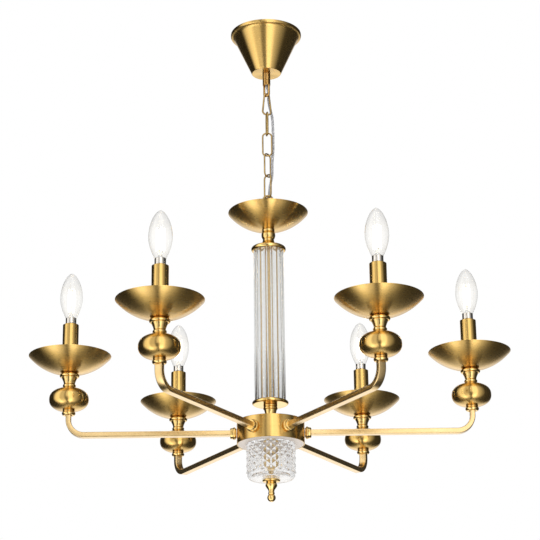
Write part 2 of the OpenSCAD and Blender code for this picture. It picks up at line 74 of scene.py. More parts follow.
def height_of(node):
    return (high(node).z - low(node).z) / MM


HUB = (low("hub_shell") + high("hub_shell")) / 2
ARM_Z = HUB.z
REACH = ((low("sleeve_1") + high("sleeve_1")) / 2).x
HUB_RADIUS = high("hub_shell").x / MM


# ---------------------------------------------------------------- camera
CAMERA_DISTANCE = 2.7
CAMERA_BELOW_ARMS = 0.7007
CAMERA_ASIDE = -0.0051
FOCAL_PIXELS = 1839.6
PICTURE_PIXELS = 540
YAW, PITCH, ROLL = 0.0026, 0.3424, -0.0123


def make_camera():
    data = bpy.data.cameras.new("camera")
    camera = bpy.data.objects.new("camera", data)
    bpy.context.scene.collection.objects.link(camera)
    ahead = Vector((math.sin(YAW) * math.cos(PITCH), math.cos(YAW) * math.cos(PITCH),
                    math.sin(PITCH)))
    right = Vector((math.cos(YAW), -math.sin(YAW), 0))
    up = right.cross(ahead)
    right, up = (right * math.cos(ROLL) + up * math.sin(ROLL),
                 up * math.cos(ROLL) - right * math.sin(ROLL))
    turn = Matrix((right, up, -ahead)).transposed().to_4x4()
    spot = Vector((CAMERA_ASIDE, -CAMERA_DISTANCE, ARM_Z - CAMERA_BELOW_ARMS))
    camera.matrix_world = Matrix.Translation(spot) @ turn
    data.sensor_width = 36
    data.lens = FOCAL_PIXELS / PICTURE_PIXELS * data.sensor_width
    data.clip_end = 100
    bpy.context.scene.camera = camera


make_camera()


# ---------------------------------------------------------------- mesh code
def soften(mesh, crease):
    """Smooth shading, broken at every edge sharper than the crease."""
    for face in mesh.polygons:
        face.use_smooth = True
    mesh.set_sharp_from_angle(angle=crease)
    return mesh


def add_mesh(name, points, faces, crease=CREASE):
    mesh = bpy.data.meshes.new(name)
    mesh.from_pydata([tuple(p) for p in points], [], faces)
    tidy = bmesh.new()
    tidy.from_mesh(mesh)
    bmesh.ops.remove_doubles(tidy, verts=tidy.verts, dist=1e-7)
    bmesh.ops.recalc_face_normals(tidy, faces=tidy.faces)
    tidy.to_mesh(mesh)
    tidy.free()
    return soften(mesh, crease)


def add_object(name, mesh, at=None, turn=0.0, tilt=None):
    obj = bpy.data.objects.new(name, mesh)
    bpy.context.scene.collection.objects.link(obj)
    place = Matrix.Translation(at or Vector((0, 0, 0))) @ Matrix.Rotation(turn, 4, "Z")
    obj.matrix_world = place @ (tilt or Matrix.Identity(4))
    return obj


def rounded(corners, share=0.35, steps=3, limit=1.0, closed=True):
    """The outline with each corner turned into a small curve."""
    out = []
    count = len(corners)
    for i, here in enumerate(corners):
        if not closed and i in (0, count - 1):
            out.append(here)
            continue
        before, after = corners[i - 1], corners[(i + 1) % count]
        here_v, before_v, after_v = Vector(here), Vector(before), Vector(after)
        reach = [min(share * (v - here_v).length, limit) for v in (before_v, after_v)]
        start = here_v + (before_v - here_v).normalized() * reach[0]
        end = here_v + (after_v - here_v).normalized() * reach[1]
        for s in range(steps + 1):
            t = s / steps
            out.append(tuple(start * (1 - t) ** 2 + here_v * 2 * t * (1 - t) + end * t ** 2))
    return out


def revolve(name, outline, segments=SMALL, crease=CREASE):
    """A closed outline of (radius, height) in millimetres, turned round Z."""
    points, faces = [], []
    count = len(outline)
    for s in range(segments):
        a = TAU * s / segments
        for r, z in outline:
            points.append((r * MM * math.cos(a), r * MM * math.sin(a), z * MM))
    for s in range(segments):
        here, there = s * count, (s + 1) % segments * count
        for i in range(count):
            j = (i + 1) % count
            faces.append((here + i, there + i, there + j, here + j))
    return add_mesh(name, points, faces, crease=crease)


def arc(centre, radius, start, end, steps):
    turns = [math.radians(start + (end - start) * i / steps) for i in range(steps + 1)]
    return [(centre[0] + radius * math.cos(t), centre[1] + radius * math.sin(t)) for t in turns]


def sweep(name, path, section, side=None, closed=False, crease=CREASE, caps=(True, True)):
    """A section of (across, up) in millimetres, carried along a path in millimetres."""
    path = [Vector(p) for p in path]
    count, around = len(path), len(section)
    points, faces = [], []
    across = Vector(side) if side else None
    for i, p in enumerate(path):
        before = path[i - 1] if closed or i else p
        after = path[(i + 1) % count] if closed or i < count - 1 else p
        heading = (after - before).normalized()
        if across is None:
            across = heading.orthogonal()
        across = (across - heading * across.dot(heading)).normalized()
        up = heading.cross(across)
        points += [(p + across * a + up * b) * MM for a, b in section]
    last = count if closed else count - 1
    for i in range(last):
        here, there = i * around, (i + 1) % count * around
        for s in range(around):
            t = (s + 1) % around
            faces.append((here + s, here + t, there + t, there + s))
    if caps[0] and not closed:
        faces.append(tuple(range(around - 1, -1, -1)))
    if caps[1] and not closed:
        faces.append(tuple(last * around + s for s in range(around)))
    return add_mesh(name, points, faces, crease=crease)


def ring_points(count, radius_at, z):
    """One ring round Z, in metres, whose radius may change on the way round."""
    out = []
    for i in range(count):
        a, r = TAU * i / count, radius_at(i)
        out.append((r * MM * math.cos(a), r * MM * math.sin(a), z * MM))
    return out


def circle(radius, sides=24):
    return [(radius * math.cos(TAU * s / sides), radius * math.sin(TAU * s / sides))
            for s in range(sides)]


def join(name, meshes, moves=None):
    """One mesh of several closed ones."""
    whole = bmesh.new()
    for i, mesh in enumerate(meshes):
        part = mesh.copy()
        if moves:
            part.transform(moves[i])
        whole.from_mesh(part)
        bpy.data.meshes.remove(part)
    mesh = bpy.data.meshes.new(name)
    whole.to_mesh(mesh)
    whole.free()
    return soften(mesh, CREASE)


def keep(obj, body, material, slot, *nodes):
    """The piece rides on a body, in a finish, and stands for CAD nodes."""
    obj.data.materials.clear()
    obj.data.materials.append(material)
    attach(obj, body)
    if nodes:
        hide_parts(*nodes)
    return obj


# ---------------------------------------------------------------- materials
class Nodes:
    """Short calls for building one node tree."""

    def __init__(self, name):
        self.material = bpy.data.materials.new(name)
        self.material.use_nodes = True
        self.tree = self.material.node_tree
        self.shader = self.tree.nodes["Principled BSDF"]
        self.place = self.add("TexCoord").outputs["Object"]

    def add(self, kind, links=None, **facts):
        node = self.tree.nodes.new("ShaderNode" + kind)
        for key, value in facts.items():
            setattr(node, key, value)
        for socket, value in (links or {}).items():
            self.put(node.inputs[socket], value)
        return node

    def put(self, socket, value):
        if isinstance(value, bpy.types.NodeSocket):
            self.tree.links.new(value, socket)
        else:
            socket.default_value = value

    def math(self, operation, a, b=0.0, clamp=False):
        node = self.add("Math", {0: a, 1: b}, operation=operation, use_clamp=clamp)
        return node.outputs[0]

    def noise(self, scale, detail=3.0, rough=0.5, vector=None):
        node = self.add("TexNoise", {"Vector": vector or self.place, "Scale": scale,
                                     "Detail": detail, "Roughness": rough})
        return node.outputs["Fac"]

    def spread(self, value, low_in, high_in, low_out, high_out):
        node = self.add("MapRange", {"Value": value, "From Min": low_in, "From Max": high_in,
                                     "To Min": low_out, "To Max": high_out})
        return node.outputs["Result"]

    def blend(self, share, first, second):
        node = self.add("Mix", data_type="RGBA")
        self.put(node.inputs[0], share)
        self.put(node.inputs[6], (*first, 1) if isinstance(first, tuple) else first)
        self.put(node.inputs[7], (*second, 1) if isinstance(second, tuple) else second)
        return node.outputs[2]

    def combine(self, x, y, z):
        return self.add("CombineXYZ", {"X": x, "Y": y, "Z": z}).outputs[0]

    def set(self, **values):
        for name, value in values.items():
            self.put(self.shader.inputs[name.replace("_", " ")], value)

    def bump(self, height, strength, distance):
        node = self.add("Bump", {"Height": height, "Strength": strength, "Distance": distance})
        self.put(self.shader.inputs["Normal"], node.outputs[0])


def spun_lines(n, fineness, waver):
    """Noise drawn out into rings round the piece's own Z axis, as a lathe leaves them."""
    parts = n.add("SeparateXYZ", {0: n.place}).outputs
    radius = n.math("POWER", n.math("ADD", n.math("MULTIPLY", parts[0], parts[0]),
                                    n.math("MULTIPLY", parts[1], parts[1])), 0.5)
    angle = n.math("ARCTAN2", parts[1], parts[0])
    turn = n.combine(n.math("MULTIPLY", radius, fineness),
                     n.math("MULTIPLY", parts[2], fineness),
                     n.math("MULTIPLY", n.math("SINE", angle), waver))
    return n.noise(1.0, 2.0, 0.6, turn)


def brushed_lines(n, axis, fineness):
    """Noise drawn out along one axis, as a belt leaves it."""
    parts = n.add("SeparateXYZ", {0: n.place}).outputs
    scale = [fineness] * 3
    scale[axis] = fineness * 0.012
    drawn = n.combine(*[n.math("MULTIPLY", parts[i], scale[i]) for i in range(3)])
    return n.noise(1.0, 2.0, 0.6, drawn)


COAT_ROUGH = 0.08
RING_WAVER = 0.3


def brass(name, light, dark, rough, grain, metal_grain, aniso=0.0, radial=False, coat=0.0):
    """Brass in a satin or polished finish, with fine grain, faint clouding and handling marks."""
    n = Nodes(name)
    cloud = n.noise(22.0, 4.0, 0.6)
    marks = n.noise(140.0, 5.0, 0.65)
    lines = grain(n)
    tone = n.math("ADD", n.math("MULTIPLY", n.spread(cloud, 0.35, 0.65, 0.0, 1.0), 0.55),
                  n.math("MULTIPLY", n.spread(lines, 0.3, 0.7, 0.0, 1.0), 0.45), clamp=True)
    n.set(Base_Color=n.blend(tone, dark, light), Metallic=1.0)
    n.set(Roughness=n.math("ADD", n.spread(lines, 0.25, 0.75, rough - 0.02, rough + 0.02),
                           n.spread(marks, 0.35, 0.7, -0.006, 0.012)))
    if aniso:
        n.set(Anisotropic=aniso, Anisotropic_Rotation=0.25)
    if radial:
        tangent = n.add("Tangent", direction_type="RADIAL", axis="Z")
        n.put(n.shader.inputs["Tangent"], tangent.outputs[0])
    if coat:
        n.set(Coat_Weight=coat, Coat_Roughness=COAT_ROUGH)
    n.bump(lines, metal_grain, 0.0002)
    return n.material


SATIN_LIGHT, SATIN_DARK = (0.76, 0.515, 0.17), (0.68, 0.45, 0.135)
POLISH_LIGHT, POLISH_DARK = (0.86, 0.62, 0.25), (0.80, 0.56, 0.205)
# The arms' two tones are painted paler than the satin brass: a painted sheen for the light the
# arms catch, laid on the tube's own drawn finish.
DRAWN_PAINTED_SHEEN_LIGHT, DRAWN_PAINTED_SHEEN_DARK = (0.86, 0.65, 0.33), (0.71, 0.51, 0.23)
TUBE_LIGHT, TUBE_DARK = (0.64, 0.46, 0.21), (0.58, 0.41, 0.17)


def rings(fineness):
    return lambda n: spun_lines(n, fineness, RING_WAVER)


def strokes(axis, fineness):
    return lambda n: brushed_lines(n, axis, fineness)


spun_brass = brass("spun_satin_brass", SATIN_LIGHT, SATIN_DARK, 0.28, rings(2600), 0.012,
                   aniso=0.95, radial=True, coat=0.4)
turned_brass = brass("turned_satin_brass", SATIN_LIGHT, SATIN_DARK, 0.24, rings(2600), 0.009,
                     aniso=0.85, radial=True, coat=0.3)
# The arms' brass: drawn strokes and coat, in the paler tones that carry the painted sheen.
drawn_brass_painted_sheen = brass("drawn_satin_brass_painted_sheen", DRAWN_PAINTED_SHEEN_LIGHT, DRAWN_PAINTED_SHEEN_DARK, 0.28,
                    strokes(0, 2400), 0.012, coat=0.5)
polished_brass = brass("polished_brass", POLISH_LIGHT, POLISH_DARK, 0.13, rings(2200), 0.006,
                       coat=0.08)


def chain_brass():
    """Aged brass wire, darker and brighter in broad random clouds."""
    n = Nodes("antique_chain_brass")
    cloud = n.noise(90.0, 5.0, 0.65)
    pits = n.noise(620.0, 3.0, 0.6)
    tone = n.spread(cloud, 0.36, 0.62, 0.0, 1.0)
    n.set(Base_Color=n.blend(tone, (0.34, 0.23, 0.085), (0.60, 0.43, 0.18)), Metallic=1.0)
    n.set(Roughness=n.spread(pits, 0.3, 0.7, 0.20, 0.36))
    n.bump(pits, 0.12, 0.0003)
    return n.material


def collar_brass():
    n = Nodes("aged_collar_brass")
    cloud = n.noise(70.0, 4.0, 0.6)
    n.set(Base_Color=n.blend(n.spread(cloud, 0.35, 0.65, 0.0, 1.0), (0.46, 0.27, 0.085),
                             (0.66, 0.42, 0.15)), Metallic=1.0)
    n.set(Roughness=n.spread(cloud, 0.3, 0.7, 0.18, 0.30))
    n.bump(n.noise(900.0, 3.0), 0.1, 0.0002)
    return n.material


def plated_steel(name, light, dark, rough, scale):
    n = Nodes(name)
    cloud = n.noise(scale, 5.0, 0.6)
    n.set(Base_Color=n.blend(n.spread(cloud, 0.35, 0.65, 0.0, 1.0), dark, light), Metallic=1.0)
    n.set(Roughness=n.spread(n.noise(scale * 6, 3.0), 0.3, 0.7, rough - 0.06, rough + 0.08))
    n.bump(n.noise(scale * 12, 2.0), 0.08, 0.0002)
    return n.material


def plastic(name, colour, shade, rough):
    n = Nodes(name)
    grain = n.noise(1800.0, 2.0)
    n.set(Base_Color=n.blend(n.noise(60.0, 3.0), shade, colour),
          Roughness=n.spread(grain, 0.3, 0.7, rough - 0.05, rough + 0.06))
    n.bump(grain, 0.08, 0.0002)
    return n.material


def glass(name, tint, rough, ior, wave_scale=0.0, wave=0.0, least=0.0):
    n = Nodes(name)
    smear = n.noise(35.0, 3.0)
    n.set(Base_Color=(*tint, 1), Transmission_Weight=1.0, IOR=ior,
          Roughness=n.spread(smear, 0.4, 0.75, least, rough))
    if wave:
        n.bump(n.noise(wave_scale, 1.0), wave, 0.0005)
    return n.material


def powder_floor():
    """The drum's painted underside: fine pinkish-beige powder coat."""
    n = Nodes("beige_powder_coat")
    peel = n.noise(1300.0, 3.0, 0.6)
    n.set(Base_Color=n.blend(n.noise(700.0, 4.0, 0.7), (0.74, 0.65, 0.58),
                             (0.86, 0.78, 0.71)), Metallic=0.1,
          Roughness=n.spread(peel, 0.3, 0.7, 0.34, 0.5))
    n.bump(peel, 0.25, 0.0002)
    return n.material


def glow():
    """A lit filament: yellow phosphor, whiter where it is hottest."""
    n = Nodes("lit_filament")
    grain = n.noise(900.0, 2.0)
    n.set(Base_Color=(0.9, 0.62, 0.2, 1), Roughness=0.5,
          Emission_Color=n.blend(grain, (1.0, 0.74, 0.40), (1.0, 0.88, 0.66)),
          Emission_Strength=9.0)
    return n.material


HAZE_MIDDLE, HAZE_REACH = 0.029, 0.021  # heights in the lamp, metres


def lit_glass():
    """Clear blown glass with the faint haze of light that a lit lamp leaves in it."""
    n = Nodes("thin_lamp_glass")
    height = n.add("SeparateXYZ", {0: n.place}).outputs[2]
    away = n.math("DIVIDE", n.math("ABSOLUTE", n.math("SUBTRACT", height, HAZE_MIDDLE)),
                  HAZE_REACH)
    smear = n.noise(60.0, 3.0)
    n.set(Base_Color=n.blend(smear, (0.95, 0.95, 0.945), (0.98, 0.98, 0.975)),
          Transmission_Weight=1.0, IOR=1.5, Roughness=n.spread(smear, 0.4, 0.75, 0.0, 0.02),
          Emission_Color=n.blend(n.spread(away, 0.5, 1.0, 0.0, 1.0), (1.0, 0.97, 0.90),
                                 (1.0, 0.80, 0.42)),
          Emission_Strength=n.spread(away, 0.6, 1.3, 0.028, 0.0))
    return n.material


antique = chain_brass()
aged_collar = collar_brass()
zinc = plated_steel("zinc_plated_steel", (0.68, 0.68, 0.66), (0.50, 0.50, 0.50), 0.34, 120.0)
nickel = plated_steel("nickel_plate", (0.80, 0.78, 0.74), (0.66, 0.64, 0.60), 0.18, 90.0)
white_plastic = plastic("white_terminal_plastic", (0.82, 0.82, 0.79), (0.74, 0.74, 0.70), 0.42)
socket_plastic = plastic("cream_socket_plastic", (0.76, 0.74, 0.68), (0.66, 0.63, 0.56), 0.38)
rod_glass = glass("clear_rod_glass", (0.975, 0.98, 0.98), 0.02, 1.52, least=0.012)
cut_glass = glass("pressed_cup_glass", (0.99, 0.99, 0.99), 0.02, 1.5, 160.0, 0.06)
lamp_glass = lit_glass()
powder = powder_floor()
filament_glow = glow()


# ---------------------------------------------------------------- supply cable
# the route of the CAD's cable, in millimetres below the ceiling
ARCH_RADIUS = 6.5
ARCH_FOOT = -14
CABLE_ROUTE = [(0, ARCH_RADIUS + ARCH_RADIUS * math.cos(math.radians(a)),
                ARCH_FOOT + ARCH_RADIUS * math.sin(math.radians(a))) for a in range(0, 181, 30)]
CABLE_ROUTE.append((0, 0, -43))
CANOPY_FOOT = low("canopy").z / MM
# and from here on the last number is the depth below the canopy's foot
CABLE_ROUTE += [(x, y, CANOPY_FOOT - depth) for x, y, depth in (
    (0, 0, 9.5), (0.1, 0.1, 20.5), (1.6, 1.9, 26.5), (3, 4.4, 32), (2.8, 5.4, 39),
    (2.8, 5.6, 46.5), (4.4, 6, 55.5), (6.6, 6.2, 65.5), (8.3, 4.9, 74.5), (9, 3.8, 85.5),
    (9.4, 3.8, 98.5), (9.5, 4, 115), (9.4, 3.8, 130.5), (9, 3.6, 138), (8.2, 2.8, 146),
    (7.4, 1.6, 161), (7, 1.2, 177.5), (4.8, 2.6, 189.5), (2.9, 4.2, 199.5), (2.4, 5, 210.5),
    (2, 5, 220), (1, 3, 231), (0, 0.5, 241), (0, 0, 250), (0, 0, 261))]
SHEATH_RADIUS = 2.15
CORE_RADIUS = 0.78
CORE_ORBIT = 0.86
CORE_LAY = 22.0  # millimetres for one turn of the twisted cores
SPLINE_STEPS = 6
PAST_ARCH = 20  # a place in the spline just beyond the arch at the terminal block
HINGE_Z = {j["child"]: j["pos_m"][2] for j in frame["joints"] if j["name"].endswith("_swing")}


def spline(points, steps):
    out = []
    last = len(points) - 1
    for i in range(last):
        p, q, r, s = (Vector(points[max(0, min(last, i + d))]) for d in (-1, 0, 1, 2))
        for k in range(steps):
            t = k / steps
            out.append(0.5 * (2 * q + (r - p) * t + (2 * p - 5 * q + 4 * r - s) * t ** 2
                              + (3 * q - p - 3 * r + s) * t ** 3))
    out.append(Vector(points[last]))
    return out


def cable_finishes():
    n = Nodes("clear_cable_sheath")
    n.set(Base_Color=(0.93, 0.93, 0.94, 1), Transmission_Weight=0.85, IOR=1.45,
          Roughness=n.spread(n.noise(120.0, 3.0), 0.3, 0.7, 0.12, 0.26))
    n.bump(n.noise(260.0, 2.0), 0.15, 0.0004)
    sheath = n.material
    cores = []
    for name, light, dark in (("tinned_core", (0.78, 0.78, 0.80), (0.52, 0.52, 0.55)),
                              ("grey_core", (0.62, 0.62, 0.64), (0.44, 0.44, 0.46))):
        n = Nodes(name)
        n.set(Base_Color=n.blend(n.noise(500.0, 3.0), dark, light), Metallic=0.7,
              Roughness=n.spread(n.noise(900.0, 2.0), 0.3, 0.7, 0.25, 0.4))
        n.bump(n.noise(1500.0, 2.0), 0.3, 0.0003)
        cores.append(n.material)
    return sheath, cores


def make_cable():
    """The cable in pieces, cut between the chain's hinges so that each spans one hinge."""
    bodies = ["ceiling_set", "pear", "link_1", "link_2", "link_3", "link_4", "fixture"]
    line = spline(CABLE_ROUTE, SPLINE_STEPS)
    run = [0.0]
    for a, b in zip(line, line[1:]):
        run.append(run[-1] + (b - a).length)
    across = Vector((1, 0, 0))
    frames = []
    for i, p in enumerate(line):
        heading = (line[min(i + 1, len(line) - 1)] - line[max(i - 1, 0)]).normalized()
        across = (across - heading * across.dot(heading)).normalized()
        frames.append((across.copy(), heading.cross(across)))
    cores = []
    for c in range(2):
        core = []
        for i, p in enumerate(line):
            a = TAU * (run[i] / CORE_LAY + c / 2)
            u, v = frames[i]
            core.append(p + (u * math.cos(a) + v * math.sin(a)) * CORE_ORBIT)
        cores.append(core)
    sheath_finish, core_finish = cable_finishes()
    heights = [HINGE_Z[b] for b in bodies[1:]]
    cuts = [len(line) - 1] * len(heights)
    for k in range(len(heights) - 1):
        middle = (heights[k] + heights[k + 1]) / 2 / MM
        cuts[k] = next(i for i in range(PAST_ARCH, len(line)) if line[i].z < middle)
    start = 0
    for k, end in enumerate(cuts):
        for part, track, section, finish in (
                ("sheath", line, circle(SHEATH_RADIUS, 20), sheath_finish),
                ("core_a", cores[0], circle(CORE_RADIUS, 12), core_finish[0]),
                ("core_b", cores[1], circle(CORE_RADIUS, 12), core_finish[1])):
            name = "cable_%s_%d" % (part, k + 1)
            mesh = sweep(name, track[start:end + 1], section, side=frames[start][0],
                         caps=(start == 0, end == len(line) - 1))
            mesh.materials.append(finish)
            obj = add_object(name, mesh)
            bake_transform(obj)
            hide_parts("supply_cable")
        start = end


# ---------------------------------------------------------------- turned parts
def above(node):
    """Where a node starts on the centre line, its lowest point."""
    return Vector((0, 0, low(node).z))


def arm_turn(k):
    return TAU * (k - 1) / len(ARMS)


def spot_round(radius, angle, z):
    return Vector((radius * math.cos(angle), radius * math.sin(angle), z))


def candle_spot(k, node):
    """Where one candle's share of a node starts."""
    return spot_round(REACH, arm_turn(k), low(node).z)


SHEET = 1.2  # thickness of the spun bowls and the canopy
BORE = 5.05  # hole round the studs of the arms
CLEAR = 5.6  # hole round the centre tube
BOWL_SEAT = 0.4  # how far the flat seat cuts into the bowl's curve
BOWL_STEPS = 44


def bowl_outline(radius, depth, hole):
    """A spun bowl of even sheet, with a rolled lip, measured from its flat seat."""
    curve = (radius ** 2 + depth ** 2) / (2 * depth)
    seat, steps = BOWL_SEAT, BOWL_STEPS
    outer = []
    first = math.asin(math.sqrt(2 * curve * seat - seat ** 2) / curve)
    last = math.asin(radius / curve)
    for i in range(steps + 1):
        t = first + (last - first) * i / steps
        outer.append((curve * math.sin(t), curve - curve * math.cos(t) - seat))
    inner_curve = curve - SHEET
    last_in = math.acos((curve - depth) / inner_curve)
    first_in = math.asin(hole / inner_curve)
    inner = []
    for i in range(steps + 1):
        t = last_in + (first_in - last_in) * i / steps
        inner.append((inner_curve * math.sin(t), curve - inner_curve * math.cos(t) - seat))
    rim = outer[-1]
    lip = SHEET / 2
    outer[-1] = (rim[0] - 0.12, rim[1] - 0.35)
    inner[0] = (inner[0][0] + 0.1, inner[0][1] - 0.35)
    mid = ((rim[0] + inner[0][0]) / 2, rim[1])
    crown = [(rim[0] - 0.04, rim[1] - 0.12), (mid[0] + 0.32 * lip, mid[1]),
             (mid[0] - 0.32 * lip, mid[1]), (inner[0][0] + 0.06, rim[1] - 0.12)]
    return [(hole, 0)] + outer + crown + inner


def make_bowls():
    for node, hole, places in (("dish_1", BORE, ARMS), ("top_bowl", CLEAR, (0,))):
        radius = (high(node).x - low(node).x) / 2 / MM
        outline = bowl_outline(radius, height_of(node) + BOWL_SEAT, hole)
        for k in places:
            name = "dish_%d" % k if k else node
            obj = add_object(name + "_spun", revolve(name + "_spun", outline, FINE),
                             candle_spot(k, node) if k else above(node))
            keep(obj, "fixture", spun_brass, "satin_brass", name)


KNOP_HALF = 17.8  # half height before the ends are cut flat
KNOP_SQUARENESS = 2.35  # 2 would be an ellipse
KNOP_STEPS = 80


def knop_outline():
    """A flattened ball whose curve is squarer than an ellipse, cut flat at both ends."""
    half = height_of("ball_knops") / 2
    radius = high("ball_knops").x / MM - REACH / MM
    tall, power = KNOP_HALF, 2 / KNOP_SQUARENESS
    outline = [(BORE, 0)]
    for i in range(KNOP_STEPS + 1):
        t = math.radians(-90 + 180 * i / KNOP_STEPS)
        r = radius * abs(math.cos(t)) ** power
        z = math.copysign(tall * abs(math.sin(t)) ** power, t)
        if abs(z) < half - 0.02:
            outline.append((r, z + half))
    return outline + [(BORE, 2 * half)]


NECK = rounded([(BORE, 0), (10.8, 0), (9.35, 2.5), (10, 3.5), (10, 5.4), (8.75, 6.5),
                (8.7, 8.6), (9.5, 11.6), (10.9, 14.6), (11.6, 16.6)], 0.42, 4, 3, False)
NECK += arc((12.3, 20), 2.7, -105, 82, 16) + [(11.3, 23.2), (BORE, 23.2)]
TIP_FERRULE = rounded([(BORE, 0), (8.2, 0), (9.6, 1.2), (10.3, 2.4), (10.3, 4), (9.6, 5),
                       (8.3, 5.3), (8.3, 5.8), (9.4, 6.2), (9.4, 7.6), (BORE, 7.6)], 0.4, 3, 0.8)
HUB_FERRULE = rounded([(BORE, 0.3), (7.6, 0.3), (7.6, 1.7), (9.2, 2.2), (9.7, 3.1), (9.7, 4.1),
                       (9.2, 5), (8.7, 5.3), (8.5, 7.1), (8, 8.9), (7.6, 9.9), (3, 9.9),
                       (3, 0.3)], 0.4, 3, 0.8)
LOWER_NECK = rounded([(CLEAR, 0), (13, 0), (13, 1.9), (9.4, 4.5), (8.5, 9.5), (8.5, 14),
                      (9.6, 18.7), (10.9, 19.7), (10.9, 22.1), (9.9, 22.9), (9.9, 23.5),
                      (10.7, 24.1), (10.7, 26.6), (CLEAR, 26.6)], 0.42, 5, 3)
UPPER_NECK = rounded([(CLEAR, 0), (15.4, 0), (15, 1.6), (11.6, 4.3), (9.3, 8.4), (8.7, 12.6),
                      (8.2, 14.6)], 0.42, 5, 3, False)
UPPER_NECK += arc((0, 20), 10.9, -38, 29, 22) + [(9.8, 25.9), (9.8, 28.6), (9.5, 28.9),
                                                 (CLEAR, 28.9)]
FINIAL = rounded([(CLEAR, 34.05), (12.6, 34.05), (13.35, 33.15), (13.35, 31.25), (12.3, 30.35),
                  (7.8, 29.65), (7.2, 28.85), (8.3, 27.65), (9, 25.65), (8.6, 23.45),
                  (6.6, 20.65), (4.6, 17.85), (4.3, 15.25), (4.9, 13.25), (4.9, 12.05),
                  (4.3, 11.4)], 0.42, 4, 2, False)
FINIAL += arc((0, 6.35), 6.35, 48, -89.5, 26) + [(0.02, 20), (0.02, 27), (CLEAR, 27)]


ROD_SEAT = 23.75  # radius of the recess that holds the rods' ends


def rod_cap_outline(radius, height, seat_low, seat_high):
    edge = height / 2
    rim = arc((radius - edge, edge), edge, -90, 90, 14)
    if seat_low > 0:  # seat opens upwards
        return [(CLEAR, 0)] + rim + [(ROD_SEAT, height), (ROD_SEAT, seat_low), (CLEAR, seat_low)]
    return [(CLEAR, seat_high), (ROD_SEAT, seat_high), (ROD_SEAT, 0)] + rim + [(CLEAR, height)]


HUB_WALL = 1.5


def make_turned():
    knop = revolve("knop", knop_outline(), FINE)
    neck = revolve("neck", NECK, SMALL)
    tip = revolve("tip_ferrule", TIP_FERRULE, SMALL)
    for k in ARMS:
        for name, mesh, node, finish, slot in (
                ("ball_%d", knop, "ball_knops", turned_brass, "satin_brass"),
                ("neck_%d", neck, "candle_necks", polished_brass, "polished_brass"),
                ("tip_ferrule_%d", tip, "tip_ferrules", polished_brass, "polished_brass")):
            obj = add_object(name % k, mesh.copy(), candle_spot(k, node), arm_turn(k))
            keep(obj, "fixture", finish, slot, node)
    ferrule = revolve("hub_ferrule", HUB_FERRULE, SMALL)
    for k in ARMS:
        a = arm_turn(k)
        obj = add_object("hub_ferrule_%d" % k, ferrule.copy(),
                         spot_round(HUB_RADIUS * MM, a, ARM_Z), a,
                         Matrix.Rotation(math.pi / 2, 4, "Y"))
        keep(obj, "fixture", polished_brass, "polished_brass", "hub_ferrules")
    height = height_of("hub_shell")
    wall = HUB_RADIUS - HUB_WALL
    drum = rounded([(HUB_RADIUS, 0), (HUB_RADIUS, height), (CLEAR, height),
                    (CLEAR, height - HUB_WALL), (wall, height - HUB_WALL), (wall, 0)],
                   0.4, 4, 0.7)
    plate = rounded([(CLEAR, 0), (wall - 0.1, 0), (wall - 0.1, HUB_WALL), (CLEAR, HUB_WALL)],
                    0.4, 2, 0.3)
    for name, outline, node, finish in (("hub_drum", drum, "hub_shell", turned_brass),
                                        ("hub_floor_plate", plate, "hub_floor", powder)):
        keep(add_object(name, revolve(name, outline, FINE), above(node)), "fixture", finish,
             "satin_brass", node)
    for node, outline, segments in (
            ("lower_neck", LOWER_NECK, SMALL), ("upper_neck", UPPER_NECK, SMALL),
            ("finial", FINIAL, SMALL),
            ("lower_rod_cap", rod_cap_outline(27.7, 5.5, 3.0, 0), FINE),
            ("upper_rod_cap", rod_cap_outline(27, 6.8, 0, 2.0), FINE)):
        name = node + "_turned"
        keep(add_object(name, revolve(name, outline, segments), above(node)), "fixture",
             polished_brass, "polished_brass", node)


SLEEVE_WALL = 0.7


def make_sleeves():
    """Candle sleeves: drawn tube with a rounded upper lip."""
    height = height_of("sleeve_1")
    radius = (high("sleeve_1").x - low("sleeve_1").x) / 2 / MM
    inside = radius - SLEEVE_WALL
    outline = rounded([(radius, 0), (radius, height), (inside, height), (inside, 0)],
                      0.45, 3, 0.3)
    mesh = revolve("sleeve", outline, SMALL)
    for k in ARMS:
        obj = add_object("candle_sleeve_%d" % k, mesh.copy(), candle_spot(k, "sleeve_1"),
                         arm_turn(k))
        keep(obj, "fixture", turned_brass, "satin_brass", "sleeve_%d" % k)


# ---------------------------------------------------------------- canopy and chain
def make_canopy():
    depth = height_of("canopy")
    rim = high("canopy").x / MM
    foot, bore = 23.4, 5.1
    outline = [(rim, 0)] + [(rim, -2.9), (rim - 0.25, -3.7), (rim - 1.0, -4.6), (rim - 2.2, -5.1),
                            (rim - 3.6, -5.6), (rim - 4.9, -6.7), (rim - 6.2, -8.4)]
    outline += [(foot + 0.5, 1.2 - depth), (foot, 0.35 - depth), (foot - 0.6, -depth)]
    outline += [(bore, -depth), (bore, SHEET - depth), (foot - 0.8, SHEET - depth),
                (rim - 7.3, -7.6), (rim - 4.4, -4.5), (rim - 1.2, -3.2), (rim - 1.2, 0)]
    outline = [(r, z + depth) for r, z in rounded(outline, 0.3, 2, 0.6)]
    mesh = revolve("canopy_spun", outline, FINE)
    keep(add_object("canopy_spun", mesh, above("canopy")), "ceiling_set", spun_brass,
         "satin_brass", "canopy")


def wire(name, path, radius, closed, sides=22):
    return sweep(name, path, circle(radius, sides), side=(0, 1, 0), closed=closed)


def corner(cx, cz, radius, start, end, steps=10):
    return [(x, 0, z) for x, z in arc((cx, cz), radius, start, end, steps)]


def ring_path(half_width, half_length, bend):
    across, along = half_width - bend, half_length - bend
    return (corner(across, along, bend, 0, 90) + corner(-across, along, bend, 90, 180)
            + corner(-across, -along, bend, 180, 270) + corner(across, -along, bend, 270, 360))


def bail_path(half_width, leg, bend):
    across = half_width - bend
    return ([(-half_width, 0, leg)] + corner(-across, bend, bend, 180, 270)
            + corner(across, bend, bend, 270, 360) + [(half_width, 0, leg)])


